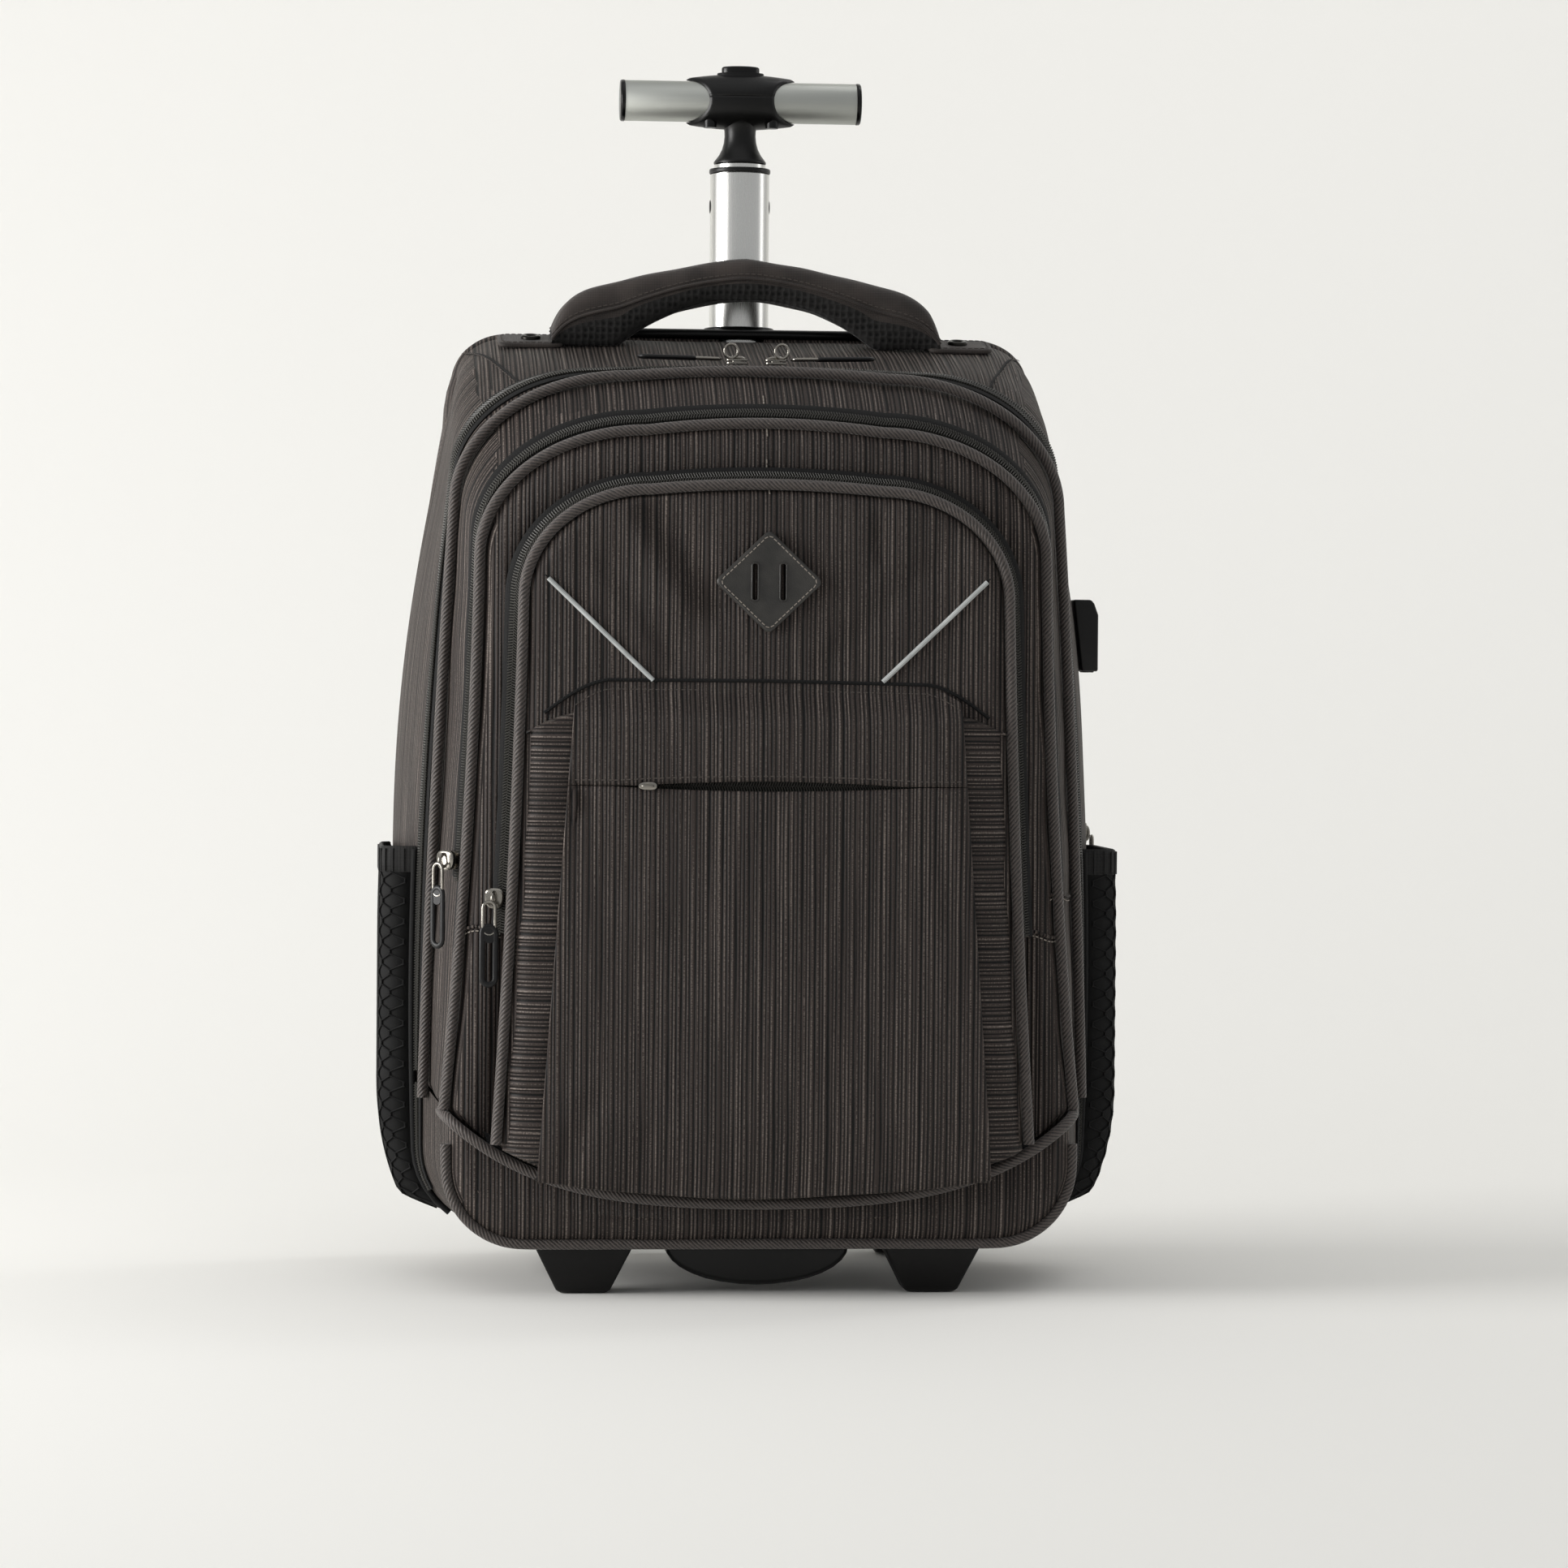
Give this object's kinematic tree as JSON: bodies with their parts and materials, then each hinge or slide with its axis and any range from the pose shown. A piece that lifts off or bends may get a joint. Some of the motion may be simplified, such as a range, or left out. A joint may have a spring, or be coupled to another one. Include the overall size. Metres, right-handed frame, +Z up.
{
  "type": "rolling laptop backpack",
  "caption": "Wheeled fabric laptop case with a telescopic T-handle pole, grab handle, zipped front section, net side pockets and two rear wheels.",
  "frame": {"origin": "on the floor under the middle of the standing case", "axes": "+Z up, front of the case towards -Y, +X to the viewer's right when looking at the front"},
  "size_m": [0.3815, 0.2512, 0.6351],
  "materials": {
    "striped_polyester": "woven charcoal-brown polyester with fine vertical stripes",
    "piping_fabric": "bias-cut fabric over cord",
    "padded_mesh": "black spacer mesh over foam",
    "lining": "plain black lining",
    "net": "black hexagonal net",
    "zip_tape": "black coil zip on woven tape",
    "patch_leather": "smooth dark imitation leather",
    "brushed_aluminium": "brushed, bright",
    "anodised_bar": "satin grey anodised",
    "rod_aluminium": "drawn",
    "plain_steel": "zinc plated",
    "black_metal": "black",
    "slider_nickel": "dark nickel",
    "puller_rubber": "soft dark grey moulded",
    "wheel_tyre": "matt",
    "seal_rubber": "satin",
    "foot_plastic": "fine moulded grain",
    "black_plastic": "satin moulded"
  },
  "bodies": {
    "bag": {"main_shell": "striped_polyester", "bottom_band": "striped_polyester", "rear_shell": "striped_polyester", "back_panel": "padded_mesh", "laptop_divider": "lining", "pole_outer_tube": "plain_steel", "pole_bezel": "black_plastic", "pole_socket": "black_plastic", "base_plate": "black_plastic", "front_foot_left": "foot_plastic", "front_foot_right": "foot_plastic", "bottom_grip": "black_plastic", "wheel_housing_left": "black_plastic", "wheel_housing_right": "black_plastic", "axle_left": "plain_steel", "axle_right": "plain_steel", "grab_handle": "striped_polyester", "rivet_left": "black_metal", "rivet_right": "black_metal", "side_pocket_left": "net", "side_pocket_right": "net", "port_housing": "black_plastic", "shoulder_strap_left": "padded_mesh", "shoulder_strap_right": "padded_mesh", "piping_bottom": "piping_fabric", "rear_slider": "slider_nickel"},
    "front_section": {"front_gusset": "striped_polyester", "organiser_panel": "striped_polyester", "front_pocket": "striped_polyester", "diamond_patch": "patch_leather", "piping_main": "piping_fabric", "piping_middle": "piping_fabric", "piping_front": "piping_fabric", "zip_main": "zip_tape", "zip_middle": "zip_tape", "zip_front": "zip_tape", "middle_slider": "slider_nickel", "front_slider": "slider_nickel", "top_slider_left": "slider_nickel", "top_slider_right": "slider_nickel"},
    "middle_stage": {"mid_tube": "brushed_aluminium", "collar_ring": "seal_rubber"},
    "inner_stage": {"inner_tube": "brushed_aluminium", "hub_lower": "black_plastic", "hub_upper": "black_plastic", "t_bar": "anodised_bar", "bar_cap_left": "black_plastic", "bar_cap_right": "black_plastic"},
    "button": {"push_button": "black_plastic", "push_rod": "rod_aluminium"},
    "wheel_left": {"tyre_left": "wheel_tyre", "wheel_rim_left": "black_plastic"},
    "wheel_right": {"tyre_right": "wheel_tyre", "wheel_rim_right": "black_plastic"},
    "top_pull_left": {"top_puller_left": "puller_rubber"},
    "top_pull_right": {"top_puller_right": "puller_rubber"},
    "middle_pull": {"middle_puller": "puller_rubber"},
    "front_pull": {"front_puller": "puller_rubber"},
    "rear_pull": {"rear_puller": "puller_rubber"},
    "pocket_zip": {"pocket_slider": "slider_nickel"}
  },
  "joints": [
    {"name": "front_fold", "type": "hinge", "parent": "bag", "child": "front_section", "pos_m": [0, -0.112, 0.049], "axis": [1, 0, 0], "range_deg": [0, 75]},
    {"name": "middle_slide", "type": "slide", "parent": "bag", "child": "middle_stage", "axis": [0, 0, 1], "range_m": [-0.083, 0.19]},
    {"name": "inner_slide", "type": "slide", "parent": "middle_stage", "child": "inner_stage", "axis": [0, 0, 1], "range_m": [0, 0.21]},
    {"name": "button_press", "type": "slide", "parent": "inner_stage", "child": "button", "axis": [0, 0, -1], "range_m": [0, 0.002], "stiffness_N_per_m": 500, "springref_m": -0.004},
    {"name": "wheel_spin_left", "type": "hinge", "parent": "bag", "child": "wheel_left", "pos_m": [-0.0877, 0.0965, 0.029], "axis": [1, 0, 0], "continuous": true},
    {"name": "wheel_spin_right", "type": "hinge", "parent": "bag", "child": "wheel_right", "pos_m": [0.0877, 0.0965, 0.029], "axis": [1, 0, 0], "continuous": true},
    {"name": "top_pull_left_lift", "type": "hinge", "parent": "front_section", "child": "top_pull_left", "pos_m": [-0.018, -0.0295, 0.47198], "axis": [0, 1, 0], "range_deg": [0, 85]},
    {"name": "top_pull_right_lift", "type": "hinge", "parent": "front_section", "child": "top_pull_right", "pos_m": [0.018, -0.0295, 0.47198], "axis": [0, -1, 0], "range_deg": [0, 85]},
    {"name": "middle_pull_lift", "type": "hinge", "parent": "front_section", "child": "middle_pull", "pos_m": [-0.16179, -0.0852, 0.216], "axis": [-0.7071, 0.7071, 0], "range_deg": [0, 100]},
    {"name": "front_pull_lift", "type": "hinge", "parent": "front_section", "child": "front_pull", "pos_m": [-0.13689, -0.1072, 0.198], "axis": [-1, 0, 0], "range_deg": [0, 100]},
    {"name": "rear_pull_lift", "type": "hinge", "parent": "bag", "child": "rear_pull", "pos_m": [0.18961, 0.064, 0.227], "axis": [0, -1, 0], "range_deg": [0, 100]},
    {"name": "pocket_zip_slide", "type": "slide", "parent": "front_section", "child": "pocket_zip", "axis": [1, 0, 0], "range_m": [0, 0.118]}
  ]
}
